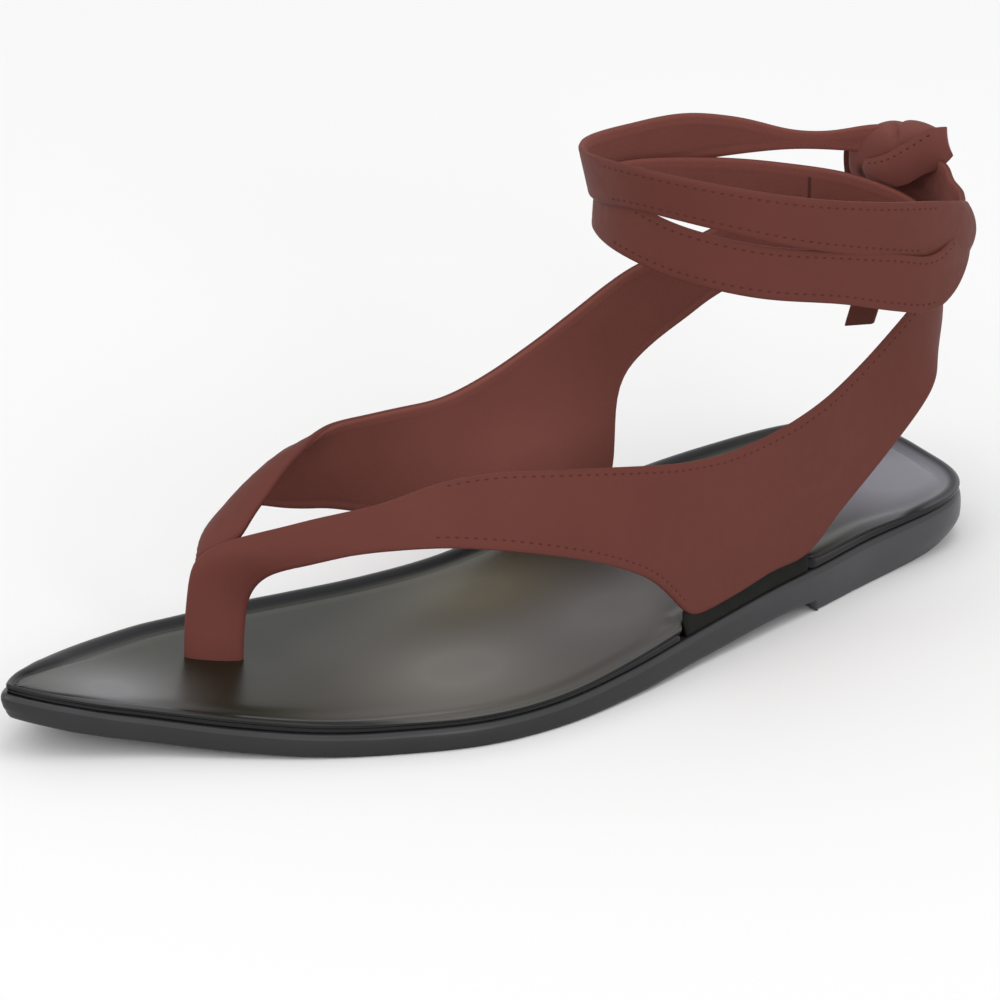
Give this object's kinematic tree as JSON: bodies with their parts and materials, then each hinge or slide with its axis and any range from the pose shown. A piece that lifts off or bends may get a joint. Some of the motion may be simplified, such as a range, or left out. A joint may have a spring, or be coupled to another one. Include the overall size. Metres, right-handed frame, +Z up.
{
  "type": "lace-up flat sandal",
  "caption": "Flat leather thong sandal for the left foot, with a pointed sole, wide side quarters and ties wound round the ankle and knotted behind it.",
  "frame": {"origin": "on the floor, under the middle of the sandal's box without its knot and hanging tie end", "axes": "toe towards -Y, heel towards +Y, outer side of the foot +X, inner side -X, +Z up"},
  "size_m": [0.0929, 0.274, 0.1143],
  "materials": {
    "outsole_black": "satin black",
    "lift_black": "matte black",
    "footbed_black": "satin black, padded, with a rolled rim",
    "upper_leather": "smooth matte red brown, folded edges",
    "knot_leather": "smooth matte red brown",
    "tie_end_leather": "smooth matte red brown, stitched edges"
  },
  "bodies": {
    "root": {"outsole": "outsole_black", "heel_lift": "lift_black", "footbed": "footbed_black", "upper": "upper_leather", "tie_knot": "knot_leather", "tie_end": "tie_end_leather"}
  },
  "joints": []
}
